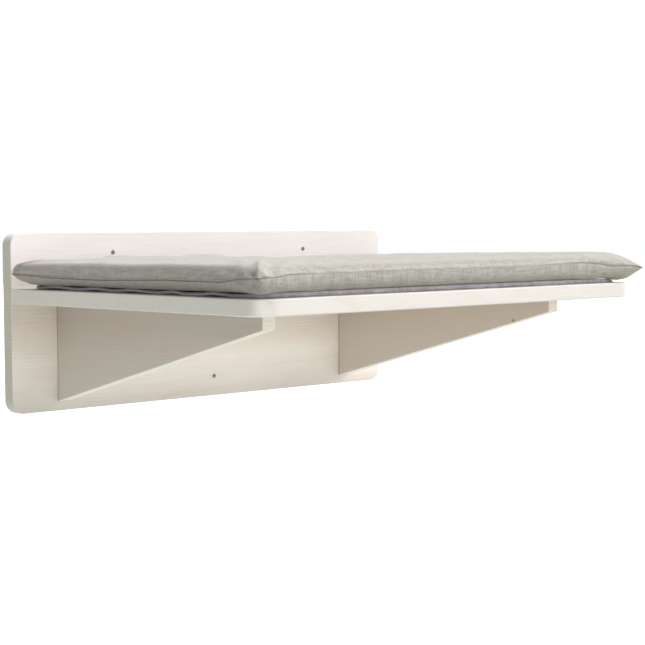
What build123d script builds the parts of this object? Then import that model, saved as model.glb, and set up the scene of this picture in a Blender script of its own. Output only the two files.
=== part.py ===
from build123d import *
import os

# Cat wall platform: a wall plate, a shelf on two tapered brackets, a plush mat and a flat cushion.
# Millimetres. X runs along the wall, +Y points into the wall, +Z points up.
# The origin is the centre of the wall plate's back face.

# Boards, all from one thickness of whitewashed glued pine
board_thickness = 18.0
plate_width = 620.0
plate_height = 217.0
plate_corner_radius = 16.0
board_arris_radius = 1.6
shelf_depth = 446.0
shelf_corner_radius = 26.0
shelf_top_height = 42.0

# Brackets, upright under the shelf, tapering from the plate to a short nose.
# The foot stops above the plate's bottom edge, and the nose stops behind the shelf's front edge.
bracket_foot_margin = 11.5
bracket_nose_setback = 69.0
bracket_nose_height = 18.5
bracket_end_distance = 64.0
bracket_arris_radius = 1.0

# Holes in the plate for the wall screws: two near the top edge and one near the bottom edge
wall_hole_diameter = 6.0
wall_hole_spacing = 322.0
wall_hole_edge_distance = 26.0

# Beech dowels, fluted, glued half in the face of one board and half in the edge of the next
dowel_diameter = 8.0
dowel_length = 30.0
dowel_in_face = 12.0
dowel_chamfer = 1.0
dowel_flute_radius = 0.5
dowel_flute_count = 12
dowel_clearance = 0.1
dowel_end_room = 1.0

# Countersunk wood screws with a cross recess
screw_head_diameter = 8.6
screw_head_height = 3.0
screw_head_lip = 0.5
screw_shank_diameter = 3.4
screw_thread_diameter = 4.4
screw_root_diameter = 2.9
screw_thread_pitch = 2.0
screw_tip_length = 4.0
screw_recess_width = 1.0
screw_recess_length = 4.6
screw_recess_depth = 1.8
screw_head_sink = 0.6
screw_clearance = 0.15
screw_tip_room = 1.0
back_screw_length = 50.0
top_screw_length = 40.0
screw_plain_share = 0.4
thread_root_share = 0.2
thread_crest_share = 0.6

# Hook pads stuck to the shelf, which grip the mat
pad_length = 50.0
pad_width = 20.0
pad_thickness = 1.5
pad_corner_radius = 4.0
pad_plan_room = 0.5
pad_top_room = 0.3

# Plush mat under the cushion
mat_inset = 13.0
mat_plate_gap = 20.0
mat_thickness = 6.0
mat_corner_radius = 20.0
mat_edge_radius = 2.4

# Flat cushion: two fabric panels stitched together half way up, over a pad of filling
cushion_overhang = 7.5
cushion_plate_gap = 15.0
cushion_thickness = 31.0
cushion_seam_height = 13.0
cushion_rest_gap = 0.3
fabric_thickness = 1.0
stitch_width = 0.8
stitch_gap = 0.3
filling_top_gap = 0.3
filling_side_gap = 2.0

cut_overrun = 5.0

# Places along the boards, as shares of the length that they follow
shelf_back_screw_shares = (-0.42, -0.14, 0.14, 0.42)
shelf_back_dowel_shares = (-0.28, 0.0, 0.28)
bracket_back_screw_shares = (0.25, 0.8)
bracket_back_dowel_shares = (0.52,)
bracket_top_screw_shares = (0.26, 0.68)
bracket_top_dowel_shares = (0.1, 0.47)
pad_x_shares = (-0.3, 0.3)
pad_y_shares = (-0.34, 0.34)

# The cushion's sides, one row for each level between the seam and the shoulder or the flat underside.
# A row holds the rise, then the inset, the draw of the sides and the corner radius.
# Rises are shares of the height above or below the seam, and the rest are shares of the thickness.
upper_side_row_shares = (
    (0.0, 0.0, 0.27, 0.12),
    (0.34, 0.07, 0.22, 0.42),
    (0.66, 0.21, 0.16, 0.8),
    (0.87, 0.55, 0.1, 1.3),
)
lower_side_row_shares = (
    (0.0, 0.0, 0.27, 0.12),
    (0.4, 0.06, 0.22, 0.4),
    (0.75, 0.2, 0.17, 0.7),
    (1.0, 0.5, 0.12, 1.1),
)

# The cushion's crown: the rise above the shoulder, then the way from the shoulder to the middle line
crown_row_shares = (
    (0.0, 0.0),
    (0.5, 0.1),
    (0.84, 0.26),
    (1.0, 0.55),
)

# Places that follow from the sizes above
plate_front = -board_thickness
shelf_width = plate_width
shelf_underside = shelf_top_height - board_thickness
shelf_middle_height = shelf_top_height - board_thickness / 2
bracket_height = shelf_underside + plate_height / 2 - bracket_foot_margin
bracket_length = shelf_depth - bracket_nose_setback
bracket_middle_x = plate_width / 2 - bracket_end_distance - board_thickness / 2
bracket_sides = {"left": -bracket_middle_x, "right": bracket_middle_x}
wall_hole_height = plate_height / 2 - wall_hole_edge_distance
mat_width = shelf_width - 2 * mat_inset
mat_depth = shelf_depth - mat_inset - mat_plate_gap
mat_middle_y = plate_front - mat_plate_gap - mat_depth / 2
cushion_half_width = shelf_width / 2 + cushion_overhang
cushion_half_depth = (shelf_depth + cushion_overhang - cushion_plate_gap) / 2
cushion_middle_y = plate_front - cushion_plate_gap - cushion_half_depth
cushion_bottom = shelf_top_height + mat_thickness + cushion_rest_gap
cushion_seam_level = cushion_bottom + cushion_seam_height
cushion_top = cushion_bottom + cushion_thickness


def upright_cylinder(radius, low, high):
    return Pos(0, 0, (low + high) / 2) * Cylinder(radius, high - low)


def into_plate(x, y, z):
    # Turns a shape that stands on its head's top, so that it points from the wall into the room.
    return Pos(x, y, z) * Rot(-90, 0, 0)


def bracket_depth_places(shares):
    return [plate_front - share * bracket_length for share in shares]


def bracket_height_places(shares):
    return [shelf_underside - share * bracket_height for share in shares]


def shelf_width_places(shares):
    return [share * shelf_width for share in shares]


def screw(length):
    # The thread is drawn as rings of its true pitch, and the head's top lies at height zero.
    head = screw_head_diameter / 2
    shank = screw_shank_diameter / 2
    thread = screw_thread_diameter / 2
    root = screw_root_diameter / 2
    thread_start = length * screw_plain_share
    turns = int((length - screw_tip_length - thread_start) / screw_thread_pitch)
    outline = [(0, 0), (head, 0), (head, -screw_head_lip), (shank, -screw_head_height)]
    outline.append((shank, -thread_start))
    for turn in range(turns):
        level = thread_start + turn * screw_thread_pitch
        outline.append((root, -level - screw_thread_pitch * thread_root_share))
        outline.append((thread, -level - screw_thread_pitch * thread_crest_share))
    outline.append((root, screw_tip_length - length))
    outline.append((0, -length))
    side = make_face(Plane.XZ * Polyline(*outline, close=True))
    body = revolve(side, Axis.Z)
    slot = Box(screw_recess_length, screw_recess_width, 2 * screw_recess_depth)
    return body - slot - Rot(0, 0, 90) * slot


def screw_hole(length):
    # The head's cone seats on the hole's cone, and the bore clears the thread.
    head = screw_head_diameter / 2
    shank = screw_shank_diameter / 2
    bore = screw_thread_diameter / 2 + screw_clearance
    slope = (screw_head_height - screw_head_lip) / (head - shank)
    cone_foot = -screw_head_lip - (head - bore) * slope
    bottom = -length - screw_tip_room
    outline = [(0, cut_overrun), (head + screw_clearance, cut_overrun)]
    outline.append((head + screw_clearance, -screw_head_lip + screw_clearance * slope))
    outline.append((bore, cone_foot))
    outline.append((bore, bottom))
    outline.append((0, bottom))
    side = make_face(Plane.XZ * Polyline(*outline, close=True))
    return revolve(side, Axis.Z)


def dowel():
    # The dowel stands upright, and height zero is the joint between the two boards.
    radius = dowel_diameter / 2
    high = dowel_in_face
    low = dowel_in_face - dowel_length
    peg = upright_cylinder(radius, low, high)
    peg = chamfer(peg.edges().filter_by(GeomType.CIRCLE), dowel_chamfer)
    flute = upright_cylinder(dowel_flute_radius, low - cut_overrun, high + cut_overrun)
    for place in PolarLocations(radius, dowel_flute_count):
        peg -= place * flute
    return peg


def dowel_hole():
    radius = dowel_diameter / 2 + dowel_clearance
    low = dowel_in_face - dowel_length - dowel_end_room
    return upright_cylinder(radius, low, dowel_in_face + dowel_end_room)


def shelf_back_screw_places():
    xs = shelf_width_places(shelf_back_screw_shares)
    return [into_plate(x, -screw_head_sink, shelf_middle_height) for x in xs]


def shelf_back_dowel_places():
    xs = shelf_width_places(shelf_back_dowel_shares)
    return [into_plate(x, plate_front, shelf_middle_height) for x in xs]


def bracket_back_screw_places(x):
    heights = bracket_height_places(bracket_back_screw_shares)
    return [into_plate(x, -screw_head_sink, z) for z in heights]


def bracket_back_dowel_places(x):
    heights = bracket_height_places(bracket_back_dowel_shares)
    return [into_plate(x, plate_front, z) for z in heights]


def bracket_top_screw_places(x):
    depths = bracket_depth_places(bracket_top_screw_shares)
    return [Pos(x, y, shelf_top_height - screw_head_sink) for y in depths]


def bracket_top_dowel_places(x):
    depths = bracket_depth_places(bracket_top_dowel_shares)
    return [Pos(x, y, shelf_underside) for y in depths]


def put(shape, places):
    return Compound(children=[place * shape for place in places])


def cut(board, tool, places):
    for place in places:
        board -= place * tool
    return board


def wall_holes():
    radius = wall_hole_diameter / 2
    drill = upright_cylinder(radius, -board_thickness - cut_overrun, cut_overrun)
    top = [into_plate(side * wall_hole_spacing / 2, 0, wall_hole_height) for side in (-1, 1)]
    return drill, top + [into_plate(0, 0, -wall_hole_height)]


def wall_plate():
    outline = RectangleRounded(plate_width, plate_height, plate_corner_radius)
    plate = extrude(Plane.XZ * outline, board_thickness)
    front_edges = plate.faces().sort_by(Axis.Y)[0].edges()
    back_edges = plate.faces().sort_by(Axis.Y)[-1].edges()
    plate = fillet(front_edges + back_edges, board_arris_radius)
    drill, places = wall_holes()
    plate = cut(plate, drill, places)
    plate = cut(plate, screw_hole(back_screw_length), shelf_back_screw_places())
    plate = cut(plate, dowel_hole(), shelf_back_dowel_places())
    for x in bracket_sides.values():
        plate = cut(plate, screw_hole(back_screw_length), bracket_back_screw_places(x))
        plate = cut(plate, dowel_hole(), bracket_back_dowel_places(x))
    return plate


def shelf_board():
    board = Pos(0, plate_front - shelf_depth / 2, shelf_middle_height)
    board *= Box(shelf_width, shelf_depth, board_thickness)
    front_corners = board.edges().filter_by(Axis.Z).group_by(Axis.Y)[0]
    board = fillet(front_corners, shelf_corner_radius)
    faces = board.faces().sort_by(Axis.Z)
    arrises = faces[0].edges() + faces[-1].edges()
    back = arrises.group_by(Axis.Y)[-1]
    board = fillet(ShapeList([edge for edge in arrises if edge not in back]), board_arris_radius)
    board = cut(board, screw_hole(back_screw_length), shelf_back_screw_places())
    board = cut(board, dowel_hole(), shelf_back_dowel_places())
    for x in bracket_sides.values():
        board = cut(board, screw_hole(top_screw_length), bracket_top_screw_places(x))
        board = cut(board, dowel_hole(), bracket_top_dowel_places(x))
    return board


def bracket(x):
    nose = plate_front - bracket_length
    outline = Polyline(
        (plate_front, shelf_underside),
        (nose, shelf_underside),
        (nose, shelf_underside - bracket_nose_height),
        (plate_front, shelf_underside - bracket_height),
        close=True,
    )
    side = extrude(Plane.YZ * make_face(outline), board_thickness / 2, both=True)
    slanted = side.faces().filter_by(Axis.X, reverse=True).sort_by(Axis.Z)[0]
    front = side.faces().sort_by(Axis.Y)[0]
    arrises = slanted.edges() + front.edges()
    top = arrises.group_by(Axis.Z)[-1]
    wall = arrises.group_by(Axis.Y)[-1]
    soft = ShapeList([edge for edge in arrises if edge not in top and edge not in wall])
    side = Pos(x, 0, 0) * fillet(soft, bracket_arris_radius)
    side = cut(side, screw_hole(back_screw_length), bracket_back_screw_places(x))
    side = cut(side, dowel_hole(), bracket_back_dowel_places(x))
    side = cut(side, screw_hole(top_screw_length), bracket_top_screw_places(x))
    return cut(side, dowel_hole(), bracket_top_dowel_places(x))


def pad_places():
    grid = [(x, y) for x in pad_x_shares for y in pad_y_shares]
    return [Pos(x * mat_width, mat_middle_y + y * mat_depth, shelf_top_height) for x, y in grid]


def hook_pad():
    return extrude(RectangleRounded(pad_length, pad_width, pad_corner_radius), pad_thickness)


def pad_pocket():
    length = pad_length + 2 * pad_plan_room
    width = pad_width + 2 * pad_plan_room
    outline = RectangleRounded(length, width, pad_corner_radius + pad_plan_room)
    return Pos(0, 0, -cut_overrun) * extrude(outline, cut_overrun + pad_thickness + pad_top_room)


def plush_mat():
    outline = RectangleRounded(mat_width, mat_depth, mat_corner_radius)
    mat = Pos(0, mat_middle_y, shelf_top_height) * extrude(outline, mat_thickness)
    mat = fillet(mat.faces().sort_by(Axis.Z)[-1].edges(), mat_edge_radius)
    return cut(mat, pad_pocket(), pad_places())


def cushion_outline(level, inset, draw, corner):
    # Four sides drawn in between the corners, and each corner rounded.
    x = cushion_half_width - inset
    y = cushion_half_depth - inset
    sides = Curve() + [
        ThreePointArc((-x, -y), (0, draw - y), (x, -y)),
        ThreePointArc((x, -y), (x - draw, 0), (x, y)),
        ThreePointArc((x, y), (0, y - draw), (-x, y)),
        ThreePointArc((-x, y), (draw - x, 0), (-x, -y)),
    ]
    face = make_face(sides)
    return Pos(0, cushion_middle_y, level) * fillet(face.vertices(), corner)


def cushion_rows(row_shares, height, inset):
    # One outline for each level, all of them drawn in by the same inset.
    outlines = []
    for rise, *form_shares in row_shares:
        level = cushion_seam_level + rise * height
        row_inset, draw, corner = [share * cushion_thickness for share in form_shares]
        outlines.append(cushion_outline(level, inset + row_inset, draw, corner))
    return outlines


def crown_rows(height, inset):
    # From the shoulder's outline inwards and up to a flat middle.
    shoulder_rise, *form_shares = upper_side_row_shares[-1]
    shoulder_inset, draw, corner = [share * cushion_thickness for share in form_shares]
    start = inset + shoulder_inset
    outlines = []
    for rise, way in crown_row_shares:
        level = cushion_seam_level + height * (shoulder_rise + rise * (1 - shoulder_rise))
        row_inset = start + way * (cushion_half_depth - start)
        outlines.append(cushion_outline(level, row_inset, draw * (1 - way), corner))
    return outlines


def upper_half(side_inset, top_inset):
    # Rounded sides from the seam to the shoulder, then a low crown.
    height = cushion_top - top_inset - cushion_seam_level
    sides = loft(cushion_rows(upper_side_row_shares, height, side_inset))
    crown = loft(crown_rows(height, side_inset), ruled=True)
    return sides + crown


def lower_half(side_inset, bottom_inset):
    height = cushion_bottom + bottom_inset - cushion_seam_level
    return loft(cushion_rows(lower_side_row_shares, height, side_inset))


def cushion_top_panel():
    return upper_half(0, 0) - upper_half(fabric_thickness, fabric_thickness)


def cushion_bottom_panel():
    return lower_half(0, 0) - lower_half(fabric_thickness, fabric_thickness)


def cushion_filling():
    side = fabric_thickness + filling_side_gap
    top = fabric_thickness + filling_top_gap
    return upper_half(side, top) + lower_half(side, top)


def cushion_stitching():
    # A fine closed line of thread just inside the two panels, at the seam.
    outside = fabric_thickness + stitch_gap
    outer = cushion_rows(upper_side_row_shares, 0, outside)[0]
    inner = cushion_rows(upper_side_row_shares, 0, outside + stitch_width)[0]
    return extrude(outer - inner, stitch_width / 2, both=True)


def pieces():
    nodes = {
        "wall_plate": wall_plate(),
        "shelf_board": shelf_board(),
        "shelf_back_screws": put(screw(back_screw_length), shelf_back_screw_places()),
        "shelf_back_dowels": put(dowel(), shelf_back_dowel_places()),
        "hook_pads": put(hook_pad(), pad_places()),
        "plush_mat": plush_mat(),
        "cushion_top_panel": cushion_top_panel(),
        "cushion_bottom_panel": cushion_bottom_panel(),
        "cushion_stitching": cushion_stitching(),
        "cushion_filling": cushion_filling(),
    }
    for side, x in bracket_sides.items():
        nodes[side + "_bracket"] = bracket(x)
        nodes[side + "_bracket_back_screws"] = put(screw(back_screw_length), bracket_back_screw_places(x))
        nodes[side + "_bracket_back_dowel"] = put(dowel(), bracket_back_dowel_places(x))
        nodes[side + "_bracket_top_screws"] = put(screw(top_screw_length), bracket_top_screw_places(x))
        nodes[side + "_bracket_top_dowels"] = put(dowel(), bracket_top_dowel_places(x))
    return nodes


os.makedirs("parts", exist_ok=True)
for name, shape in pieces().items():
    export_step(shape, "parts/" + name + ".step")
    print(name, len(shape.solids()), round(shape.volume))
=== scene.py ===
import math

import bmesh
import bpy
import numpy as np
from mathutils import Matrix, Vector, noise


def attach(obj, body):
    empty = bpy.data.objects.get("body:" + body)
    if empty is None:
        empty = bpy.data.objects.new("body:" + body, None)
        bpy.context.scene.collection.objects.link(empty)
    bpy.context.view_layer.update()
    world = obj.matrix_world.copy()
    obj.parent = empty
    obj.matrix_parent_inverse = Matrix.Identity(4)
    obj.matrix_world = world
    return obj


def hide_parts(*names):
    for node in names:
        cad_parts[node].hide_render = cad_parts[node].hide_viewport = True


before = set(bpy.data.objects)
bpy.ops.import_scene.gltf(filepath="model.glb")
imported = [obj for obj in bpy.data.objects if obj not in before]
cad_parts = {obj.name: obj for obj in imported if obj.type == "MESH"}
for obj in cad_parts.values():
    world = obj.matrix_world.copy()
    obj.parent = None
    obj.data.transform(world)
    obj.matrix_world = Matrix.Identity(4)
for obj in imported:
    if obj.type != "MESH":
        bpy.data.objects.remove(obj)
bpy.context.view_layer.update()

mm = 0.001

# The camera that the straight edges of the photograph were fitted with
camera = dict(
    place=(-1.364825, -1.667855, 0.115827),
    turn=(86.5485, 0.3342, -43.4553),  # degrees
    lens=90.769,
    sensor=36.0,
)

studio = dict(
    floorHeight=-1.2,  # such a shelf hangs well above the floor
    floorHalf=30.0,
    floorColour="#C1C1BF",
    floorGlow=0.7,  # only where the camera sees it
    ambient=0.27,
    lamps=dict(  # strength, width in degrees and where the light comes from
        keySoftbox=(1.29, 60.0, (0.50, -0.66, 0.55)),
        frontSoftbox=(1.50, 70.0, (0.05, -0.96, -0.25)),
        topSoftbox=(4.05, 80.0, (0.46, -0.08, 0.88)),
    ),
)

# Settings that many nodes share
colourMix = dict(data_type="RGBA")
colourProduct = dict(data_type="RGBA", blend_type="MULTIPLY")
easedRange = dict(interpolation_type="SMOOTHSTEP")
thousandfold = (1000, 1000, 1000)  # from metres to mm


def linearFromHex(text):
    def one(pair):
        level = int(pair, 16) / 255
        return level / 12.92 if level <= 0.04045 else ((level + 0.055) / 1.055) ** 2.4

    return (one(text[1:3]), one(text[3:5]), one(text[5:7]), 1.0)


def setInputs(tree, node, inputs):
    # each input, by its name or number, gets a value, a hex colour, a socket or a node's first output
    for name, value in inputs.items():
        if isinstance(value, bpy.types.Node):
            value = next(socket for socket in value.outputs if socket.enabled)
        if isinstance(value, bpy.types.NodeSocket):
            tree.links.new(value, node.inputs[name])
        else:
            node.inputs[name].default_value = linearFromHex(value) if isinstance(value, str) else value


def addNode(tree, kind, inputs=None, stops=(), **settings):
    node = tree.nodes.new(kind)
    for name, value in settings.items():
        setattr(node, name, value)
    setInputs(tree, node, inputs or {})
    if stops:
        ramp = node.color_ramp
        while len(ramp.elements) < len(stops):
            ramp.elements.new(0.5)
        for element, (place, colour) in zip(ramp.elements, stops):
            element.position = place
            element.color = linearFromHex(colour)
    return node


def newMaterial(name):
    material = bpy.data.materials.new(name)
    material.use_nodes = True
    tree = material.node_tree
    tree.nodes.clear()
    surface = addNode(tree, "ShaderNodeBsdfPrincipled")
    addNode(tree, "ShaderNodeOutputMaterial", {"Surface": surface})
    return material, tree, surface


def addObject(name, data):
    thing = bpy.data.objects.new(name, data)
    bpy.context.scene.collection.objects.link(thing)
    return thing


def newPiece(name, bm, material):
    mesh = bpy.data.meshes.new(name)
    bm.to_mesh(mesh)
    bm.free()
    mesh.materials.append(material)
    return addObject(name, mesh)


def placeCamera():
    lens = bpy.data.cameras.new("photoCamera")
    lens.lens = camera["lens"]
    lens.sensor_width = camera["sensor"]
    lens.clip_end = 100.0
    eye = addObject("photoCamera", lens)
    eye.location = camera["place"]
    eye.rotation_euler = [math.radians(angle) for angle in camera["turn"]]
    bpy.context.scene.camera = eye


def setWorld():
    # white behind the object and in reflections, and a dimmer light all round
    world = bpy.data.worlds.new("whiteStudio")
    bpy.context.scene.world = world
    world.use_nodes = True
    tree = world.node_tree
    tree.nodes.clear()
    rays = addNode(tree, "ShaderNodeLightPath")
    direct = {0: rays.outputs["Is Camera Ray"], 1: rays.outputs["Is Glossy Ray"]}
    seen = addNode(tree, "ShaderNodeMath", direct, operation="MAXIMUM")
    through = {0: seen, 1: rays.outputs["Is Transmission Ray"]}
    white = addNode(tree, "ShaderNodeMath", through, operation="MAXIMUM")
    levels = {"Factor": white, "A": studio["ambient"], "B": 1.0}
    strength = addNode(tree, "ShaderNodeMix", levels, data_type="FLOAT")
    sky = addNode(tree, "ShaderNodeBackground", {"Color": "#FFFFFF", "Strength": strength})
    addNode(tree, "ShaderNodeOutputWorld", {"Surface": sky})


def addFloor():
    material, tree, surface = newMaterial("paleFloor")
    setInputs(tree, surface, {"Base Color": studio["floorColour"], "Roughness": 0.9})
    rays = addNode(tree, "ShaderNodeLightPath")
    glow = addNode(tree, "ShaderNodeEmission", {"Strength": studio["floorGlow"]})
    lit = addNode(tree, "ShaderNodeAddShader", {0: surface, 1: glow})
    ends = {0: rays.outputs["Is Camera Ray"], 1: surface, 2: lit}
    seen = addNode(tree, "ShaderNodeMixShader", ends)
    setInputs(tree, tree.nodes["Material Output"], {"Surface": seen})
    bm = bmesh.new()
    bmesh.ops.create_grid(bm, x_segments=2, y_segments=2, size=studio["floorHalf"])
    bmesh.ops.translate(bm, vec=(0, 0, studio["floorHeight"]), verts=bm.verts)
    floor = newPiece("studioFloor", bm, material)


def addSun(name, strength, angle, comesFrom):
    lamp = bpy.data.lights.new(name, "SUN")
    lamp.energy = strength
    lamp.angle = math.radians(angle)
    sun = addObject(name, lamp)
    sun.rotation_euler = Vector(comesFrom).to_track_quat("Z", "Y").to_euler()


bpy.context.scene.view_settings.view_transform = "Standard"
placeCamera()
setWorld()
addFloor()
for lampName, lamp in studio["lamps"].items():
    addSun(lampName, *lamp)
print("camera and studio are set")


def reachOf(nodeName, axis):
    # where a CAD piece starts and ends along an axis, in mm
    places = [v.co["XYZ".index(axis)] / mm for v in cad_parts[nodeName].data.vertices]
    return round(min(places), 1), round(max(places), 1)


# Glued pine panel, planed, sanded and washed with white: the wash hides most of the figure, some staves
# stay warmer or greener than others, and the end grain drinks the wash and looks greyer. Growth rings
# are 3 to 5 mm apart and stand across the board. Staves are tones from one side of the board to the
# other, on the plate and the shelf partly painted light and shade; ends are the light and dark of the end
# grain, and edge is the tone of the narrow long edges.
bracketGrain = dict(along="Y", across="Z", ring=3.8, glued=True)
pineBoards = dict(
    wall_plate=dict(
        along="X", across="Z", ring=4.3, seed=1.3, figure=0.132,
        # painted light: the staves 55 to 75 mm under the shelf are lightened against the shelf's shade; the
        # plate is also darker at the bottom
        stavesAndPaintedLight=[
            (0.0, "#D4CFC8"), (0.14, "#F3EDE5"), (0.26, "#FFFAF2"), (0.36, "#F8F0E5"),
            (0.5, "#EDE3DA"), (0.58, "#EAE2D8"), (0.66, "#E6E3DE"), (0.8, "#E7E3E1"),
        ],
        ends=("#D7D6C6", "#CBC9B9"),
    ),
    shelf_board=dict(
        along="X", across="Y", ring=4.0, seed=7.1, figure=0.22,
        # painted highlight: the staves over the first 25 mm behind the front, across the rounded near corner,
        # are lightened for light from the front left; the front face itself is darker
        stavesAndPaintedLight=[
            (0.0, "#DBD7D2"), (0.006, "#DBD7D2"), (0.02, "#FFFCF5"), (0.055, "#FFFCF5"),
            (0.12, "#E0DCD6"), (0.5, "#E1DCD6"), (0.75, "#DEDAD2"), (1.0, "#DFDBD4"),
        ],
        ends=("#EDEBE0", "#E6E5DA"),
    ),
    left_bracket=dict(
        **bracketGrain, seed=3.7, figure=0.176, edge="#F1EDE6",
        stavesAndPaintedLight=[(0.0, "#D9D7CB"), (0.3, "#DAD6CB"), (0.55, "#D6CFC4"), (0.8, "#C6BFB5"), (1.0, "#C1BAB0")],
        ends=("#F0EDE0", "#E2DECD"),
    ),
    right_bracket=dict(
        **bracketGrain, seed=9.9, figure=0.22, edge="#F2EDE4",
        knot=(228.0, -337.4, -7.4),  # a pin knot on the inner face, in mm
        stavesAndPaintedLight=[(0.0, "#D4CDC0"), (0.3, "#D5CDC1"), (0.6, "#D3C8BA"), (0.85, "#CFC3B4"), (1.0, "#CFC4B6")],
        ends=("#F3E9DC", "#E5D4C4"),
    ),
)


def stretched(tree, board, inMm, alongScale, acrossScale, offset):
    # noise space in which the grain's direction is drawn out
    seed = board["seed"]
    scale = tuple(alongScale if axis == board["along"] else acrossScale for axis in "XYZ")
    start = (seed + offset, seed * 2, seed * 3 - offset)
    return addNode(tree, "ShaderNodeMapping", {"Vector": inMm, "Scale": scale, "Location": start})


def growthRings(tree, board, inMm, axes, toKnot):
    # the grain wanders a few millimetres along the board; gives the place across it and the rings
    slow = stretched(tree, board, inMm, 0.004, 0.012, 0)
    drift = addNode(tree, "ShaderNodeTexNoise", {"Vector": slow, "Scale": 1.0, "Detail": 2.0})
    offset = addNode(tree, "ShaderNodeMapRange", {"Value": drift, "To Min": -14.0, "To Max": 14.0})
    across = addNode(tree, "ShaderNodeMath", {0: axes.outputs[board["across"]], 1: offset}, operation="ADD")
    count = addNode(tree, "ShaderNodeMath", {0: across, 1: board["ring"]}, operation="DIVIDE")
    if toKnot:
        pushed = {"Value": toKnot, "From Min": 1.5, "From Max": 16.0, "To Min": 2.2, "To Max": 0.0}
        push = addNode(tree, "ShaderNodeMapRange", pushed, **easedRange)
        count = addNode(tree, "ShaderNodeMath", {0: count, 1: push}, operation="ADD")
    # each ring darkens slowly and ends at once
    part = addNode(tree, "ShaderNodeMath", {0: count}, operation="FRACT")
    growing = {"Value": part, "From Min": 0.3, "From Max": 0.88}
    lateWood = addNode(tree, "ShaderNodeMapRange", growing, **easedRange)
    fading = {"Value": part, "From Min": 0.88, "From Max": 1.0, "To Min": 1.0, "To Max": 0.0}
    earlyWood = addNode(tree, "ShaderNodeMapRange", fading, **easedRange)
    rings = addNode(tree, "ShaderNodeMath", {0: lateWood, 1: earlyWood}, operation="MULTIPLY")
    return across, rings


def washedFace(tree, board, inMm, facing, level, rings):
    # the wash is rubbed thinner in places, and only there do the rings show
    broad = stretched(tree, board, inMm, 0.008, 0.03, 11)
    patches = addNode(tree, "ShaderNodeTexNoise", {"Vector": broad, "Scale": 1.0, "Detail": 3.0})
    rubbed = {"Value": patches, "From Min": 0.35, "From Max": 0.7}
    thinWash = addNode(tree, "ShaderNodeMapRange", rubbed, **easedRange)
    showing = addNode(tree, "ShaderNodeMath", {0: rings, 1: thinWash}, operation="MULTIPLY")
    share = addNode(tree, "ShaderNodeMath", {0: showing, 1: board["figure"]}, operation="MULTIPLY")
    # the stave tones, on the plate and the shelf partly painted light and shade
    tone = addNode(tree, "ShaderNodeValToRGB", {"Fac": level}, stops=board["stavesAndPaintedLight"])
    if "edge" in board:
        sideways = addNode(tree, "ShaderNodeMath", {0: facing.outputs["X"]}, operation="ABSOLUTE")
        turning = {"Value": sideways, "From Min": 0.2, "From Max": 0.8, "To Min": 1.0, "To Max": 0.0}
        atEdge = addNode(tree, "ShaderNodeMapRange", turning)
        tone = addNode(tree, "ShaderNodeMix", {"Factor": atEdge, "A": tone, "B": board["edge"]}, **colourMix)
    warm = addNode(tree, "ShaderNodeMix", {"Factor": share, "A": tone, "B": "#C9AE90"}, **colourMix)
    # streaks of wash and resin, 5 to 15 mm wide and a hand long, pink one way and green the other
    drawn = stretched(tree, board, inMm, 0.007, 0.11, 23)
    streaked = {"Vector": drawn, "Scale": 1.0, "Detail": 4.0, "Roughness": 0.6}
    streaks = addNode(tree, "ShaderNodeTexNoise", streaked)
    tints = [(0.25, "#F8FBF4"), (0.5, "#FFFFFF"), (0.75, "#FFF7F2")]
    tint = addNode(tree, "ShaderNodeValToRGB", {"Fac": streaks}, stops=tints)
    tinted = addNode(tree, "ShaderNodeMix", {"Factor": 1.0, "A": warm, "B": tint}, **colourProduct)
    # fibres about 0.7 mm wide, a little coarser than real so that they show
    fine = stretched(tree, board, inMm, 0.015, 1.1, 37)
    fibrous = {"Vector": fine, "Scale": 1.0, "Detail": 4.0, "Roughness": 0.6}
    fibres = addNode(tree, "ShaderNodeTexNoise", fibrous)
    shaded = {"Value": fibres, "From Min": 0.3, "From Max": 0.7, "To Min": 0.965, "To Max": 1.015}
    shade = addNode(tree, "ShaderNodeMapRange", shaded)
    face = addNode(tree, "ShaderNodeMix", {"Factor": 1.0, "A": tinted, "B": shade}, **colourProduct)
    return face, fibres, showing


def endGrain(tree, board, inMm, rings):
    # groups of rings a finger apart, and open pores
    wide = stretched(tree, board, inMm, 0.02, 0.09, 51)
    groups = addNode(tree, "ShaderNodeTexNoise", {"Vector": wide, "Scale": 1.0, "Detail": 2.0})
    grouped = {"Value": groups, "From Min": 0.35, "From Max": 0.65, "To Min": 0.1, "To Max": 0.9}
    groupShow = addNode(tree, "ShaderNodeMapRange", grouped)
    dark = addNode(tree, "ShaderNodeMath", {0: rings, 1: groupShow}, operation="MULTIPLY")
    light, deep = board["ends"]
    ringed = addNode(tree, "ShaderNodeMix", {"Factor": dark, "A": light, "B": deep}, **colourMix)
    porous = {"Vector": inMm, "Scale": 0.8, "Detail": 3.0, "Roughness": 0.6}
    pores = addNode(tree, "ShaderNodeTexNoise", porous)
    shaded = {"Value": pores, "From Min": 0.35, "From Max": 0.7, "To Min": 0.93, "To Max": 1.03}
    poreShow = addNode(tree, "ShaderNodeMapRange", shaded)
    return addNode(tree, "ShaderNodeMix", {"Factor": 1.0, "A": ringed, "B": poreShow}, **colourProduct)


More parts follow.
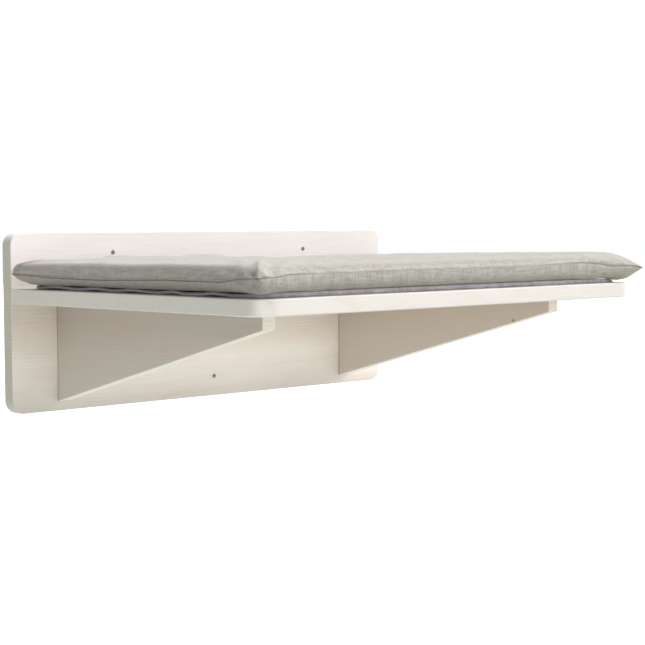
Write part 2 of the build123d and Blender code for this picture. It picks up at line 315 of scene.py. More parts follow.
def whitewashedPine(nodeName, board):
    material, tree, surface = newMaterial("whitewashedPine_" + nodeName)
    place = addNode(tree, "ShaderNodeTexCoord")
    inMm = addNode(tree, "ShaderNodeMapping", {"Vector": place.outputs["Object"], "Scale": thousandfold})
    axes = addNode(tree, "ShaderNodeSeparateXYZ", {0: inMm})
    facing = addNode(tree, "ShaderNodeSeparateXYZ", {0: place.outputs["Normal"]})
    toKnot = None
    if "knot" in board:
        away = addNode(tree, "ShaderNodeVectorMath", {0: inMm, 1: board["knot"]}, operation="SUBTRACT")
        oval = addNode(tree, "ShaderNodeVectorMath", {0: away, 1: (1.0, 0.7, 1.0)}, operation="MULTIPLY")
        toKnot = addNode(tree, "ShaderNodeVectorMath", {0: oval}, operation="LENGTH")
    across, rings = growthRings(tree, board, inMm, axes, toKnot)
    start, end = reachOf(nodeName, board["across"])
    level = addNode(tree, "ShaderNodeMapRange", {"Value": across, "From Min": start, "From Max": end})
    face, fibres, showing = washedFace(tree, board, inMm, facing, level, rings)
    endwise = addNode(tree, "ShaderNodeMath", {0: facing.outputs[board["along"]]}, operation="ABSOLUTE")
    turning = {"Value": endwise, "From Min": 0.75, "From Max": 0.97}
    atEnd = addNode(tree, "ShaderNodeMapRange", turning, **easedRange)
    ends = endGrain(tree, board, inMm, rings)
    wood = addNode(tree, "ShaderNodeMix", {"Factor": atEnd, "A": face, "B": ends}, **colourMix)
    if toKnot:
        darkened = {"Value": toKnot, "From Min": 0.8, "From Max": 2.9, "To Min": 0.75, "To Max": 0.0}
        heart = addNode(tree, "ShaderNodeMapRange", darkened, **easedRange)
        wood = addNode(tree, "ShaderNodeMix", {"Factor": heart, "A": wood, "B": "#8A7861"}, **colourMix)
    if board.get("glued"):
        # a hairline shadow where the board is glued to the plate
        joint = reachOf(nodeName, "Y")[1]
        near = {"Value": axes.outputs["Y"], "From Min": joint - 2.4, "From Max": joint - 1.0, "To Max": 0.5}
        hairline = addNode(tree, "ShaderNodeMapRange", near)
        wood = addNode(tree, "ShaderNodeMix", {"Factor": hairline, "A": wood, "B": "#7B7162"}, **colourMix)
    rough = addNode(tree, "ShaderNodeMapRange", {"Value": fibres, "To Min": 0.5, "To Max": 0.68})
    relief = addNode(tree, "ShaderNodeMath", {0: fibres, 1: showing}, operation="ADD")
    bump = addNode(tree, "ShaderNodeBump", {"Height": relief, "Strength": 0.2, "Distance": 0.12 * mm})
    finish = {"Base Color": wood, "Roughness": rough, "IOR": 1.5, "Specular IOR Level": 0.35, "Normal": bump}
    setInputs(tree, surface, finish)
    return material


for nodeName, board in pineBoards.items():
    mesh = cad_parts[nodeName].data
    mesh.materials.clear()
    mesh.materials.append(whitewashedPine(nodeName, board))
print("pine boards are washed")


def speckled(name, base, other, speck, roughness, metallic=0.0, stretch=(1, 1, 1), relief=0.05):
    # two close tones mixed by fine noise; the speck's width and the relief are in mm
    material, tree, surface = newMaterial(name)
    place = addNode(tree, "ShaderNodeTexCoord")
    scale = tuple(1000 / speck * axis for axis in stretch)
    spread = addNode(tree, "ShaderNodeMapping", {"Vector": place.outputs["Object"], "Scale": scale})
    specks = addNode(tree, "ShaderNodeTexNoise", {"Vector": spread, "Scale": 1.0, "Detail": 3.0})
    tone = addNode(tree, "ShaderNodeValToRGB", {"Fac": specks}, stops=[(0.3, base), (0.7, other)])
    ends = {"Value": specks, "To Min": roughness - 0.06, "To Max": roughness + 0.08}
    rough = addNode(tree, "ShaderNodeMapRange", ends)
    bump = addNode(tree, "ShaderNodeBump", {"Height": specks, "Strength": 0.3, "Distance": relief * mm})
    setInputs(tree, surface, {"Base Color": tone, "Metallic": metallic, "Roughness": rough, "Normal": bump})
    return material


# Hardware: bright zinc-plated wood screws, grooved beech dowels and the hook side of hook-and-loop tape.
# The soft goods' CAD solids get plain tones, and the pieces made below stand for them.
hardware = dict(
    screws=speckled("zincPlatedSteel", "#C4C8CE", "#D6D8DA", 0.6, 0.32, metallic=1.0, relief=0.01),
    dowel=speckled("beech", "#C39B74", "#D4B08A", 1.2, 0.6, stretch=(1, 0.2, 1)),
    pads=speckled("hookTape", "#47474C", "#5A5A60", 0.5, 0.85, relief=0.3),
    panel=speckled("plainLinen", "#A8A59D", "#B6B3AC", 1.0, 0.9),
    stitching=speckled("plainThread", "#8C887E", "#969288", 0.3, 0.6),
    filling=speckled("polyesterFibre", "#F2F2F0", "#FAFAF9", 2.0, 0.95),
    mat=speckled("plainPlush", "#B4AEB6", "#CDC7CE", 1.5, 0.95),
)
for nodeName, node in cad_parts.items():
    if nodeName in pineBoards:
        continue
    kind = next(word for word in hardware if word in nodeName)
    node.data.materials.clear()
    node.data.materials.append(hardware[kind])
print("hardware is coloured")


def easedHeight(places, at):
    # height at a place along a side, eased between the measured ones
    for (x0, h0), (x1, h1) in zip(places, places[1:]):
        if at <= x1:
            share = max(0.0, min(1.0, (at - x0) / (x1 - x0)))
            return h0 + (h1 - h0) * share * share * (3 - 2 * share)
    return places[-1][1]


def bell(offset, width):
    return math.exp(-((offset / width) ** 2))


# Loose cushion: two panels of linen-look cloth sewn round the edge over a flat fibre pad. All in mm.
# A corner is named by its side of the middle: -1 is left or front, and 1 is right or back.
cushionCover = dict(
    halfWidth=318.7,
    back=-32.0,
    front=-472.5,
    restHeight=reachOf("cushion_bottom_panel", "Z")[0],
    spacing=5.2,  # of the mesh
    crowding=1.3,  # it is finer towards the seam
    clothPast=12.0,  # half the cut cloth reaches this far past the seam, for the way up the sides
    clothApart=800.0,  # the lower panel's own place on the cloth
    weld=0.05,
    drawIn=9.6,  # the sides are drawn in between the corners
    drawWithin=58.0,
    # the rounding from the seam: its rise, and its inset and power at each side and near each corner
    upper=dict(
        rise=19.0,
        sides=dict(left=(12.0, 0.78), front=(12.0, 0.58), right=(15.0, 0.8), back=(14.0, 0.7)),
        corners={(-1, 1): (14.0, 0.62), (-1, -1): (17.0, 0.75), (1, -1): (54.0, 0.93), (1, 1): (24.0, 0.8)},
    ),
    lower=dict(
        rise=13.0,
        sides=dict(left=(12.0, 1.25), front=(10.0, 0.62), right=(12.0, 0.85), back=(12.0, 1.0)),
        corners={(-1, 1): (20.0, 1.1), (-1, -1): (13.0, 0.9), (1, -1): (40.0, 0.85), (1, 1): (24.0, 0.9)},
    ),
    atSeam=(15.0, 16.0, 0.85),  # inset, rise and power that both panels share along the seam
    cornerReach=48.0,
    tipRadius=5.0,
    # how often the upright edge at each corner is smoothed, how near the tip and how far above the mat
    softening={(-1, -1): 12, (-1, 1): 2, (1, -1): 3, (1, 1): 6},
    softWithin=34.0,
    softAbove=0.5,
    # how deep the cloth is folded in beside each corner, under the seam's pull
    folds={(-1, -1): 4.5, (-1, 1): 1.5, (1, -1): 1.2, (1, 1): 2.0},
    foldsWithin=60.0,
    foldsFade=18.0,
    # each crease and ridge: share of that depth, distance from the corner, width, lean, middle and its reach
    creases=[
        (1.0, 10.0, 3.6, 0.0, 64.0, 5.5), (0.5, 28.2, 4.0, 0.6, 62.0, 5.0), (0.5, 20.9, 3.6, -0.9, 53.0, 3.5),
    ],
    ridges=[(0.5, 10.0, 4.0, 0.0, 64.0, 5.5), (-0.35, 22.0, 4.5, 0.7, 64.0, 5.5)],
    kink=(1.6, 67.0, 4.0),  # the first crease steps back: by how much, at what height and over what reach
    # waves of the top: height, length along X and Y, place in the noise
    waves=[(0.6, 70.0, 55.0, 3.1), (0.3, 30.0, 28.0, 8.7)],
    hollow=(-50.0, -180.0, 212.1, 113.12, 5.0),  # middle, reach of x and y added and of x less y, depth
    pressure=4.0,
    frames=20,
    swellCap=2.0,
    slowRounds=60,
    settle=1.0,  # how far the middle of the top stands lower before it is puffed
    # where the underside hangs past the mat: place, reach, depth
    sags=[
        (-300.0, -455.0, 22.0, 1.0), (284.0, -457.0, 16.0, 5.2),
        (-306.0, -80.0, 30.0, 1.3), (-308.0, -250.0, 170.0, 1.3),
    ],
    sagAcross=20.0,
    seamHalf=1.1,
    seamDepth=1.9,
    # where the front seam is pulled almost flat: from, to, share of the depth left, and how gradually
    seamFlush=(-235.0, 180.0, 0.05, 14.0),
    frontFrom=-400.0,  # the seam is the front one past this place
    stitchPitch=2.6,
    stitch=(0.5, 0.45, 2.0),  # width, height, length
    stitchSink=(0.47, 0.025),  # share of the valley's depth, less a little
    # heights of the seam and of the top along the sides, from front to back and from left to right
    seamLeft=[
        (-471.5, 62.5), (-446, 61.8), (-402, 57.7), (-317, 57.6), (-236, 55.9),
        (-208, 55.2), (-132, 55.7), (-92, 56.7), (-68, 58.2), (-33, 59.5),
    ],
    seamFront=[
        (-317.5, 62.5), (-295, 62.9), (-268, 65.0), (-100, 65.5), (60, 64.8), (130, 65.6),
        (198, 67.1), (226, 66.3), (262, 62.3), (299, 61.9), (317.5, 60.0),
    ],
    seamRight=[(-471.5, 60.0), (-420, 61.5), (-250, 60.5), (-80, 59.8), (-33, 61.5)],
    seamBack=[(-317.5, 59.5), (-250, 59.0), (0, 60.2), (250, 59.6), (317.5, 61.5)],
    topLeft=[(-471.5, 79.4), (-380, 79.2), (-220, 77.8), (-90, 77.0), (-33, 75.5)],
    topFront=[(-317.5, 79.4), (-120, 79.0), (100, 79.8), (317.5, 79.3)],
    topRight=[
        (-471.5, 79.3), (-321, 79.4), (-235, 78.9), (-163, 77.3), (-107, 75.8), (-68, 74.4), (-33, 73.5),
    ],
    topBack=[
        (-317.5, 75.5), (-270, 74.6), (-225, 76.2), (-180, 80.4), (-142, 76.4), (-110, 77.0), (-74, 80.0),
        (-24, 79.6), (21, 76.2), (84, 72.0), (140, 71.2), (203, 71.2), (262, 71.8), (317.5, 73.5),
    ],
)


def betweenSides(x, y, share, left, front, right, back):
    # a smooth sheet of heights hung between the heights of its four sides
    u, v = share
    across = easedHeight(left, y) * (1 - u) + easedHeight(right, y) * u
    along = easedHeight(front, x) * (1 - v) + easedHeight(back, x) * v
    frontCorners = left[0][1] * (1 - u) + right[0][1] * u
    backCorners = left[-1][1] * (1 - u) + right[-1][1] * u
    return across + along - (frontCorners * (1 - v) + backCorners * v)


def coverTop(x, y, share):
    # height of the top panel away from its edges, in mm
    c = cushionCover
    top = betweenSides(x, y, share, c["topLeft"], c["topFront"], c["topRight"], c["topBack"])
    for high, longX, longY, depth in c["waves"]:
        top += high * noise.noise(Vector((x / longX, y / longY, depth)))
    middleX, middleY, longReach, shortReach, deep = c["hollow"]
    fromX, fromY = x - middleX, y - middleY
    top -= deep * bell(fromX + fromY, longReach) * bell(fromX - fromY, shortReach)
    return top - c["settle"]


def coverUnderside(x, y):
    # the lower panel lies on the mat and hangs a little past it
    c = cushionCover
    height = c["restHeight"]
    for atX, atY, reach, deep in c["sags"]:
        height -= deep * bell(x - atX, min(reach, c["sagAcross"])) * bell(y - atY, reach)
    return height


def roundedEdge(share, half, drawn, inset, rise, power):
    # how far in, and how far up, the cloth is at its share of the way from the middle to the seam
    curve = math.pi / 2 * math.sqrt((inset**2 + rise**2) / 2)
    reach = half + cushionCover["clothPast"]
    along = (1 - abs(share)) * reach
    if along < curve:
        turn = along / curve * math.pi / 2
        gone, up = inset * (1 - math.cos(turn) ** power), math.sin(turn) ** power
    else:
        gone, up = inset + (along - curve) * (drawn - inset) / (reach - curve), 1.0
    return math.copysign(drawn - gone, share), up


def nearestRoundings(a, b, toSideX, toSideY, panel):
    # inset and power of the nearest two sides, eased into those of the corner between them
    insetX, powerX = panel["sides"]["left" if a < 0 else "right"]
    insetY, powerY = panel["sides"]["front" if b < 0 else "back"]
    wide, bent = panel["corners"][(-1 if a < 0 else 1, -1 if b < 0 else 1)]
    share = bell(math.hypot(toSideX, toSideY), cushionCover["cornerReach"])
    insetX += (wide - insetX) * share
    insetY += (wide - insetY) * share
    powerX += (bent - powerX) * share
    powerY += (bent - powerY) * share
    return (insetX, powerX), (insetY, powerY)


def coverPlace(a, b, upper):
    # a and b run from -1 to 1 over a panel as it was cut
    c = cushionCover
    panel = c["upper"] if upper else c["lower"]
    halfX, middle, halfY = c["halfWidth"], (c["back"] + c["front"]) / 2, (c["back"] - c["front"]) / 2
    flatX, flatY = a * halfX, b * halfY
    toSideX, toSideY = halfX - abs(flatX), halfY - abs(flatY)
    (insetX, powerX), (insetY, powerY) = nearestRoundings(a, b, toSideX, toSideY, panel)
    drawnX = halfX - c["drawIn"] * (1 - bell(toSideY, c["drawWithin"]))
    drawnY = halfY - c["drawIn"] * (1 - bell(toSideX, c["drawWithin"]))
    ownX, upX = roundedEdge(a, halfX, drawnX, insetX, panel["rise"], powerX)
    ownY, upY = roundedEdge(b, halfY, drawnY, insetY, panel["rise"], powerY)
    sharedX, sharedUpX = roundedEdge(a, halfX, drawnX, *c["atSeam"])
    sharedY, sharedUpY = roundedEdge(b, halfY, drawnY, *c["atSeam"])
    x = ownX * upY + sharedX * (1 - upY)
    y = middle + ownY * upX + sharedY * (1 - upX)
    nearX, nearY = 1 - sharedUpX + 1e-6, 1 - sharedUpY + 1e-6
    seamX = easedHeight(c["seamLeft"] if a < 0 else c["seamRight"], y)
    seamY = easedHeight(c["seamFront"] if b < 0 else c["seamBack"], x)
    seam = (seamX * nearX + seamY * nearY) / (nearX + nearY)
    if upper:
        level = coverTop(flatX, middle + flatY, ((a + 1) / 2, (b + 1) / 2))
    else:
        level = coverUnderside(flatX, middle + flatY)
    # the corners of the seam are turned with a small radius
    tip = c["tipRadius"]
    turnX, turnY = 1 - (halfX - abs(x)) / tip, 1 - (halfY - abs(y - middle)) / tip
    if turnX > 0 and turnY > 0:
        x = math.copysign(halfX - tip * (1 - turnX * math.sqrt(1 - turnY**2 / 2)), x)
        y = middle + math.copysign(halfY - tip * (1 - turnY * math.sqrt(1 - turnX**2 / 2)), y - middle)
    return Vector((x, y, seam + (level - seam) * upX * upY)) * mm


def crease(distance, z, share, start, width, lean, level, reach):
    # a fold that leans with the height and fades above and below its level
    return share * bell(distance - start - lean * (z - level), width) * bell(z - level, reach)


def gather(place):
    # beside each corner the cloth is folded in under the seam's pull, with a ridge past the fold
    c = cushionCover
    x, y, z = (value / mm for value in place)
    sx, sy = (-1 if x < 0 else 1), (-1 if y < (c["front"] + c["back"]) / 2 else 1)
    alongSide = abs(y - (c["front"] if sy < 0 else c["back"]))
    alongFront = c["halfWidth"] - abs(x)
    if alongSide > c["foldsWithin"] or alongFront > c["foldsWithin"]:
        return
    deep = c["folds"][(sx, sy)] * mm
    stepBack, stepHeight, stepReach = c["kink"]
    first, *others = c["creases"]
    fold = crease(alongSide - stepBack * bell(z - stepHeight, stepReach), z, *first)
    fold += sum(crease(alongSide, z, *one) for one in others)
    ridge = sum(crease(alongFront, z, *one) for one in c["ridges"])
    place.x -= sx * deep * fold * bell(alongFront, c["foldsFade"])
    place.y += sy * deep * ridge * bell(alongSide, c["foldsFade"])


def coverShape():
    c = cushionCover
    cut = (c["halfWidth"] + c["clothPast"], (c["back"] - c["front"]) / 2 + c["clothPast"])
    columns, rows = (round(2 * half / c["spacing"]) for half in cut)
    bm = bmesh.new()
    uv = bm.loops.layers.uv.new("cloth")
    for upper in (True, False):
        verts = bmesh.ops.create_grid(bm, x_segments=columns, y_segments=rows, size=1)["verts"]
        flat = {}
        for v in verts:
            crowded = [math.copysign(1 - (1 - abs(share)) ** c["crowding"], share) for share in v.co.xy]
            flat[v] = Vector(crowded)
        faces = {f for v in verts for f in v.link_faces}
        for face in faces:
            face.smooth = True
            face.material_index = 0 if upper else 1  # tells the panels apart until the seam is made
            for loop in face.loops:
                a, b = flat[loop.vert]
                loop[uv].uv = (a * cut[0] * mm + (0 if upper else c["clothApart"] * mm), b * cut[1] * mm)
        for v in verts:
            v.co = coverPlace(*flat[v], upper)
        if not upper:
            bmesh.ops.reverse_faces(bm, faces=list(faces))
    bmesh.ops.remove_doubles(bm, verts=[v for v in bm.verts if v.is_boundary], dist=c["weld"] * mm)
    # the upright edges at the corners are soft, and only the seam keeps its point
    sewn = {v for e in seamEdges(bm) for v in e.verts}
    loose = [v for v in bm.verts if v not in sewn]
    above = (c["restHeight"] + c["softAbove"]) * mm
    allAxes = dict(use_axis_x=True, use_axis_y=True, use_axis_z=True)
    for (sx, sy), rounds in c["softening"].items():
        corner = Vector((sx * c["halfWidth"], c["front"] if sy < 0 else c["back"])) * mm
        soft = [v for v in loose if (v.co.xy - corner).length < c["softWithin"] * mm and v.co.z > above]
        for _ in range(rounds):
            bmesh.ops.smooth_vert(bm, verts=soft, factor=0.5, **allAxes)
    for v in loose:
        gather(v.co)
    return bm


def seamEdges(bm):
    # where a face of one panel meets a face of the other
    return [e for e in bm.edges if len({f.material_index for f in e.link_faces}) == 2]


def puffedPlaces(bm, held):
    # the panels swell like stuffed cloth while the seam and the underside are held; gives each vertex's place
    c = cushionCover
    trial = bpy.data.meshes.new("puffTrial")
    bm.to_mesh(trial)
    body = addObject("puffTrial", trial)
    group = body.vertex_groups.new(name="held")
    group.add(held, 1.0, "REPLACE")
    cloth = body.modifiers.new("puff", "CLOTH")
    cloth.settings.quality = 4
    cloth.settings.mass = 0.25
    cloth.settings.bending_stiffness = 0.3
    cloth.settings.vertex_group_mass = "held"
    cloth.settings.use_pressure = True
    cloth.settings.uniform_pressure_force = c["pressure"]
    cloth.settings.shrink_min = -0.012
    cloth.settings.effector_weights.gravity = 0.0
    cloth.collision_settings.use_collision = False
    cloth.point_cache.frame_start, cloth.point_cache.frame_end = 1, c["frames"]
    for number in range(1, c["frames"] + 1):
        bpy.context.scene.frame_set(number)
    solved = body.evaluated_get(bpy.context.evaluated_depsgraph_get()).to_mesh()
    places = [v.co.copy() for v in solved.vertices]
    bpy.data.objects.remove(body)
    bpy.data.meshes.remove(trial)
    bpy.context.scene.frame_set(1)
    return places


def slowPart(steps, pairs):
    # the moves averaged over neighbours again and again
    count = len(steps)
    degree = np.bincount(pairs.ravel(), minlength=count)[:, None]
    firsts, seconds = pairs.T
    for _ in range(cushionCover["slowRounds"]):
        total = np.empty_like(steps)
        for axis in range(3):
            total[:, axis] = np.bincount(firsts, steps[seconds, axis], count)
            total[:, axis] += np.bincount(seconds, steps[firsts, axis], count)
        steps = 0.5 * steps + 0.5 * total / degree
    return steps


def puff(bm):
    # the cloth keeps the wrinkles of the puffed trial, and none of the slow swelling under them
    c = cushionCover
    onSeam = {v.index for e in seamEdges(bm) for v in e.verts}
    underneath = {v.index for v in bm.verts if v.co.z < (c["restHeight"] + 0.02) * mm}
    before = np.array([v.co for v in bm.verts])
    steps = np.array(puffedPlaces(bm, sorted(onSeam | underneath))) - before
    steps -= slowPart(steps, np.array([[v.index for v in e.verts] for e in bm.edges]))
    size = np.linalg.norm(steps, axis=1, keepdims=True) + 1e-9
    cap = c["swellCap"] * mm
    for vert, step in zip(bm.verts, steps * cap * np.tanh(size / cap) / size):
        vert.co += Vector(step)
    print("largest wrinkle %.1f mm" % (size.max() / mm))


def placeOf(vert):
    return tuple(vert.co)


def cutSeam(bm):
    # the seam becomes a narrow valley between the panels; gives the line along its bottom
    c = cushionCover
    made = bmesh.ops.bevel(
        bm, geom=seamEdges(bm), offset=c["seamHalf"] * mm, offset_type="OFFSET",
        segments=2, profile=0.5, affect="EDGES", material=-1,
    )
    bm.normal_update()
    strip = set(made["faces"])
    low = {v for v in made["verts"] if all(f in strip for f in v.link_faces)}
    line = [min(low, key=placeOf)]  # from the leftmost place, so that each run gives the same line
    while len(line) < len(low):
        beside = [e.other_vert(line[-1]) for e in line[-1].link_edges]
        ahead = [v for v in beside if v in low and v not in line[-2:] and v is not line[0]]
        if not ahead:
            break
        line.append(min(ahead, key=placeOf))
    first, last, flush, ease = c["seamFlush"]
    bottom = []
    for v in line:
        depth = c["seamDepth"] * mm
        if v.co.y < c["frontFrom"] * mm:
            inside = min(v.co.x / mm - first, last - v.co.x / mm)
            depth *= flush + (1 - flush) * (1 - 1 / (1 + math.exp(-inside / ease)))
        bottom.append((v.co.copy(), v.normal.copy(), depth))
    for v, (_, up, depth) in zip(line, bottom):
        v.co -= up * depth
    print("seam valley:", len(low), "places,", len(line), "in line")
    return bottom


def stitchShape(line):
    # lockstitches, end to end along the bottom of the valley
    c = cushionCover
    one = bmesh.new()
    bmesh.ops.create_uvsphere(one, u_segments=6, v_segments=4, radius=0.5)
    one.verts.index_update()
    spots = [v.co.copy() for v in one.verts]
    rounds = sorted([v.index for v in f.verts] for f in one.faces)  # their order varies from run to run
    one.free()
    bm = bmesh.new()
    width, height, length = c["stitch"]
    sink, less = c["stitchSink"]
    gone, wanted = 0.0, 0.0
    for (here, up, depth), (there, _, _) in zip(line, line[1:] + line[:1]):
        step = (there - here).length
        ahead = (there - here).normalized()
        side = up.cross(ahead).normalized()
        while wanted < gone + step:
            spot = here + ahead * (wanted - gone) - up * (sink * depth - less * mm)
            made = []
            for p in spots:
                offset = side * p.x * width + up * p.y * height + ahead * p.z * length
                made.append(bm.verts.new(spot + offset * mm))
            for corners in rounds:
                bm.faces.new([made[number] for number in corners])
            wanted += c["stitchPitch"] * mm
        gone += step
    for face in bm.faces:
        face.smooth = True
    bmesh.ops.recalc_face_normals(bm, faces=bm.faces)
    print("stitches:", len(bm.faces), "faces")
    return bm


def linen():
    # linen-look cloth, a blend of pale and dark flax yarns: thick places in the yarn, 10 to 40 mm long,
    # show as streaks both ways
    material, tree, surface = newMaterial("greyLinen")
    cloth = addNode(tree, "ShaderNodeUVMap", uv_map="cloth")
    streaks = []
    for (wide, long), start in (((1.4, 20), (0, 0, 0)), ((20, 1.4), (31, 7, 0))):
        scale = (1000 / wide, 1000 / long, 1)
        drawn = addNode(tree, "ShaderNodeMapping", {"Vector": cloth, "Scale": scale, "Location": start})
        uneven = {"Vector": drawn, "Scale": 1.0, "Detail": 2.0, "Roughness": 0.6}
        streaks.append(addNode(tree, "ShaderNodeTexNoise", uneven, noise_dimensions="2D"))
    slubs = addNode(tree, "ShaderNodeMath", {0: streaks[0], 1: streaks[1]}, operation="ADD")
    mottled = {"Vector": cloth, "Scale": 1000 / 1.6, "Detail": 2.0}
    flecks = addNode(tree, "ShaderNodeTexNoise", mottled, noise_dimensions="2D")
    both = addNode(tree, "ShaderNodeMath", {0: flecks, 1: 0.5, 2: slubs}, operation="MULTIPLY_ADD")
    yarns = addNode(tree, "ShaderNodeMapRange", {"Value": both, "From Min": 0.9, "From Max": 1.6})
    dyes = [(0.15, "#969289"), (0.5, "#A4A098"), (0.85, "#ADAAA3")]
    tone = addNode(tree, "ShaderNodeValToRGB", {"Fac": yarns}, stops=dyes)
    # painted shade: the cloth is darker and greener towards the mat, from 62 mm down to 47 mm, where the
    # underside gets less light
    place = addNode(tree, "ShaderNodeTexCoord")
    axes = addNode(tree, "ShaderNodeSeparateXYZ", {0: place.outputs["Object"]})
    fading = {
        "Value": axes.outputs["Z"], "From Min": 47.0 * mm, "From Max": 62.0 * mm,
        "To Min": 1.0, "To Max": 0.0,
    }
    paintedUnderShade = addNode(tree, "ShaderNodeMapRange", fading, **easedRange)
    under = addNode(tree, "ShaderNodeMix", {"Factor": paintedUnderShade, "A": "#FFFFFF", "B": "#E2E2D6"}, **colourMix)
    # the plain weave itself, drawn at 1.1 mm a thread where the real one has about 0.8
    spots = addNode(tree, "ShaderNodeSeparateXYZ", {0: cloth})
    threads = []
    for axis in "XY":
        counted = {0: spots.outputs[axis], 1: 1000 * math.pi / 1.1}
        turns = addNode(tree, "ShaderNodeMath", counted, operation="MULTIPLY")
        threads.append(addNode(tree, "ShaderNodeMath", {0: turns}, operation="SINE"))
    over = addNode(tree, "ShaderNodeMath", {0: threads[0], 1: threads[1]}, operation="MULTIPLY")
    shaded = {"Value": over, "From Min": -1.0, "From Max": 1.0, "To Min": 0.965, "To Max": 1.03}
    shade = addNode(tree, "ShaderNodeMapRange", shaded)
    woven = addNode(tree, "ShaderNodeMix", {"Factor": 1.0, "A": tone, "B": shade}, **colourProduct)
    colour = addNode(tree, "ShaderNodeMix", {"Factor": 1.0, "A": woven, "B": under}, **colourProduct)
    relief = addNode(tree, "ShaderNodeMath", {0: over, 1: 0.35, 2: slubs}, operation="MULTIPLY_ADD")
    bump = addNode(tree, "ShaderNodeBump", {"Height": relief, "Strength": 0.45, "Distance": 0.5 * mm})
    setInputs(tree, surface, {"Base Color": colour, "Roughness": 0.92, "IOR": 1.5, "Normal": bump})
    setInputs(tree, surface, {"Specular IOR Level": 0.2, "Sheen Weight": 0.32, "Sheen Roughness": 0.55})
    return material


def sewingThread():
    # polyester thread, smooth and a little darker than the cloth
    material, tree, surface = newMaterial("sewingThread")
    setInputs(tree, surface, {"Base Color": "#8C887E", "Roughness": 0.6, "Sheen Weight": 0.2})
    return material


cover = coverShape()
bmesh.ops.recalc_face_normals(cover, faces=cover.faces)
cover.verts.index_update()
print("cover panels:", len(cover.faces), "faces, open edges:", sum(e.is_boundary for e in cover.edges))
puff(cover)
print("cover is puffed")
stitches = stitchShape(cutSeam(cover))
for face in cover.faces:
    face.material_index = 0  # both panels are the same cloth

coverPiece = newPiece("cushionCover", cover, linen())
rounder = coverPiece.modifiers.new("rounder", "SUBSURF")
rounder.levels = rounder.render_levels = 1
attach(coverPiece, "cushion")
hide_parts("cushion_top_panel", "cushion_bottom_panel", "cushion_filling")

stitchPiece = newPiece("seamStitches", stitches, sewingThread())
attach(stitchPiece, "cushion")
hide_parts("cushion_stitching")
print("cushion is sewn and coloured")

# Plush mat: a pad of short pile on a backing, 6 mm thick. Its side edges are only hemmed, so they curl
# and wave. All in mm.
matFront, matBack = reachOf("plush_mat", "Y")
matUnder, matOver = reachOf("plush_mat", "Z")
plushMat = dict(
    halfWidth=reachOf("plush_mat", "X")[1],
    front=matFront,
    back=matBack,
    under=matUnder,
    over=matOver,
    columns=96,
    rows=84,
    crowding=1.7,  # the mesh is finer towards the edges, where the pad is rounded
    weld=0.05,
    clothApart=800.0,  # the lower side's own place on the cloth
    corner=20.0,
    roundOver=2.9,
    lip=3.7,  # the thickness at the hemmed sides
    lipWithin=26.0,
    lipDrop=0.5,
    flatCorner=(0.85, 30.0),  # the near left corner neither thins nor waves so much: share, reach
    pressedCorner=(1.5, 28.0),  # the near right one is pressed down by the cushion's corner: depth, reach
    wave=0.9,
    waves=[
        (-451, -0.4), (-419, -1), (-370, 1), (-355, -0.6), (-330, -1), (-305, 1), (-283, -1),
        (-231, 1), (-205, -1), (-166, 1), (-138, -1), (-88, 1), (-60, -0.6), (-38, 0),
    ],
)


def matPlace(a, b, upper):
    c = plushMat
    halfX, middle, halfY = c["halfWidth"], (c["back"] + c["front"]) / 2, (c["back"] - c["front"]) / 2
    inX, inY = halfX * (1 - abs(a)) ** c["crowding"], halfY * (1 - abs(b)) ** c["crowding"]
    # the corners are turned with a radius
    corner = c["corner"]
    cornerX, cornerY = max(0.0, 1 - inX / corner), max(0.0, 1 - inY / corner)
    roundX, roundY = cornerX * math.sqrt(1 - cornerY**2 / 2), cornerY * math.sqrt(1 - cornerX**2 / 2)
    x = math.copysign(halfX - corner + corner * roundX if cornerX > 0 else halfX - inX, a)
    y = middle + math.copysign(halfY - corner + corner * roundY if cornerY > 0 else halfY - inY, b)
    edge = min(inX, inY)
    if cornerX > 0 and cornerY > 0:
        edge = corner * (1 - min(1.0, math.hypot(roundX, roundY)))
    # the sides are thinner and wave, the right one as the left one seen the other way round
    half = (c["over"] - c["under"]) / 2
    centre = c["under"] + half
    atSide = bell(inX, c["lipWithin"])
    if a < 0 and b < 0:
        share, reach = c["flatCorner"]
        atSide *= 1 - share * bell(inY, reach)
    if a > 0 and b < 0:
        deep, reach = c["pressedCorner"]
        centre -= deep * bell(inX, reach) * bell(inY, reach)
    bend = easedHeight(c["waves"], y if a < 0 else c["back"] + c["front"] - y)
    half += (c["lip"] / 2 - half) * atSide
    centre += (c["wave"] * bend - c["lipDrop"]) * atSide
    bulge = min(1.0, edge / c["roundOver"])
    return Vector((x, y, centre + (half if upper else -half) * math.sqrt(1 - (1 - bulge) ** 2))) * mm


def matShape():
    c = plushMat
    bm = bmesh.new()
    uv = bm.loops.layers.uv.new("cloth")
    for upper in (True, False):
        verts = bmesh.ops.create_grid(bm, x_segments=c["columns"], y_segments=c["rows"], size=1)["verts"]
        for v in verts:
            v.co = matPlace(v.co.x, v.co.y, upper)
        faces = {f for v in verts for f in v.link_faces}
        for face in faces:
            face.smooth = True
            for loop in face.loops:
                loop[uv].uv = (loop.vert.co.x + (0 if upper else c["clothApart"] * mm), loop.vert.co.y)
        if not upper:
            bmesh.ops.reverse_faces(bm, faces=list(faces))
    bmesh.ops.remove_doubles(bm, verts=[v for v in bm.verts if v.is_boundary], dist=c["weld"] * mm)
    bmesh.ops.recalc_face_normals(bm, faces=bm.faces)
    return bm


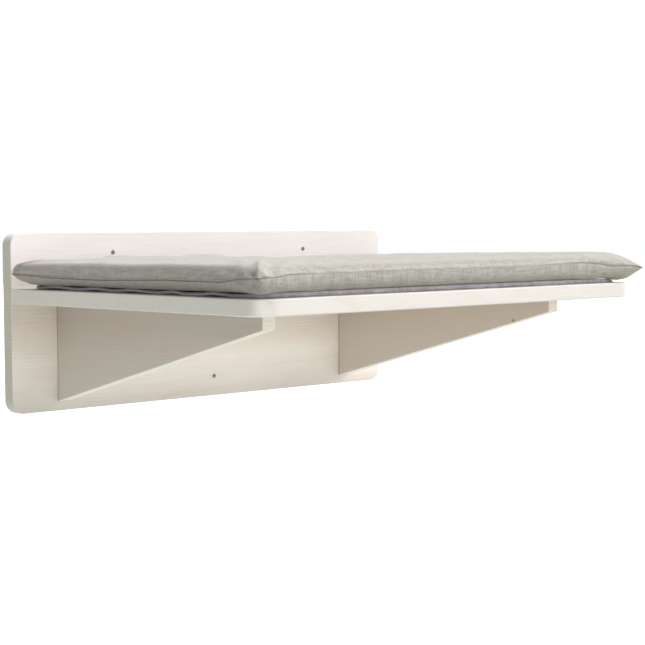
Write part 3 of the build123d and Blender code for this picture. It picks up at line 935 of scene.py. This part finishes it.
def plush():
    # polyester plush with a pile 2 to 3 mm deep: it glows at grazing angles; along the front edge it has
    # painted shade low down, patchy where the pile parts, and a painted highlight along its top
    c = plushMat
    material, tree, surface = newMaterial("lilacGreyPlush")
    place = addNode(tree, "ShaderNodeTexCoord")
    inMm = addNode(tree, "ShaderNodeMapping", {"Vector": place.outputs["Object"], "Scale": thousandfold})
    axes = addNode(tree, "ShaderNodeSeparateXYZ", {0: inMm})
    lean = addNode(tree, "ShaderNodeTexNoise", {"Vector": inMm, "Scale": 0.11, "Detail": 2.0})
    tufted = {"Vector": inMm, "Scale": 0.62, "Detail": 3.0, "Roughness": 0.65}
    tufts = addNode(tree, "ShaderNodeTexNoise", tufted)
    mixed = addNode(tree, "ShaderNodeMath", {0: lean, 1: tufts}, operation="ADD")
    pile = addNode(tree, "ShaderNodeMapRange", {"Value": mixed, "From Min": 0.75, "From Max": 1.25})
    dyes = [(0.1, "#A29CA4"), (0.5, "#B9B3BB"), (0.9, "#CAC5CC")]
    tone = addNode(tree, "ShaderNodeValToRGB", {"Fac": pile}, stops=dyes)
    # the front edge: painted shade low down near the shelf, patchy between the tufts, and a painted highlight
    # along its top, under the cushion's overhang
    facing = {
        "Value": axes.outputs["Y"], "From Min": c["front"] + 5.0, "From Max": c["front"] + 15.0,
        "To Min": 1.0, "To Max": 0.0,
    }
    atFront = addNode(tree, "ShaderNodeMapRange", facing)
    lowest = {
        "Value": axes.outputs["Z"], "From Min": c["under"] + 0.5, "From Max": c["under"] + 3.8,
        "To Min": 1.0, "To Max": 0.0,
    }
    low = addNode(tree, "ShaderNodeMapRange", lowest)
    opened = {"Value": mixed, "From Min": 0.85, "From Max": 1.1, "To Min": 1.0, "To Max": 0.35}
    parted = addNode(tree, "ShaderNodeMapRange", opened)
    lowFront = addNode(tree, "ShaderNodeMath", {0: low, 1: atFront}, operation="MULTIPLY")
    shadow = addNode(tree, "ShaderNodeMath", {0: lowFront, 1: parted}, operation="MULTIPLY")
    shadowed = addNode(tree, "ShaderNodeMix", {"Factor": shadow, "A": tone, "B": "#877F8B"}, **colourMix)
    # painted highlight: the top of the front edge is lightened, where the cushion's overhang shades it
    rising = {
        "Value": axes.outputs["Z"], "From Min": c["over"] - 3.0, "From Max": c["over"] - 0.6,
        "To Min": 0.22, "To Max": 0.5,
    }
    rim = addNode(tree, "ShaderNodeMapRange", rising)
    paintedTopHighlight = addNode(tree, "ShaderNodeMath", {0: rim, 1: atFront}, operation="MULTIPLY")
    withTopHighlight = addNode(tree, "ShaderNodeMix", {"Factor": paintedTopHighlight, "A": shadowed, "B": "#F4F1F5"}, **colourMix)
    # painted light: the side edges are lightened, where they lie in the shade of the cushion above them
    sideways = addNode(tree, "ShaderNodeMath", {0: axes.outputs["X"]}, operation="ABSOLUTE")
    nearSide = {
        "Value": sideways, "From Min": c["halfWidth"] - 11.0, "From Max": c["halfWidth"] - 2.0, "To Max": 0.5,
    }
    paintedSideLight = addNode(tree, "ShaderNodeMapRange", nearSide)
    colour = addNode(tree, "ShaderNodeMix", {"Factor": paintedSideLight, "A": withTopHighlight, "B": "#EFEBF2"}, **colourMix)
    bump = addNode(tree, "ShaderNodeBump", {"Height": tufts, "Strength": 0.8, "Distance": 1.2 * mm})
    setInputs(tree, surface, {"Base Color": colour, "Roughness": 0.95, "Normal": bump})
    setInputs(tree, surface, {"Specular IOR Level": 0.1, "Sheen Weight": 0.5, "Sheen Roughness": 0.4})
    setInputs(tree, surface, {"Sheen Tint": "#DCD4E2"})
    return material


pad = matShape()
print("mat:", len(pad.faces), "faces, open edges:", sum(e.is_boundary for e in pad.edges))
matPiece = newPiece("plushMat", pad, plush())
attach(matPiece, "mat")
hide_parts("plush_mat")
print("mat is laid and coloured")
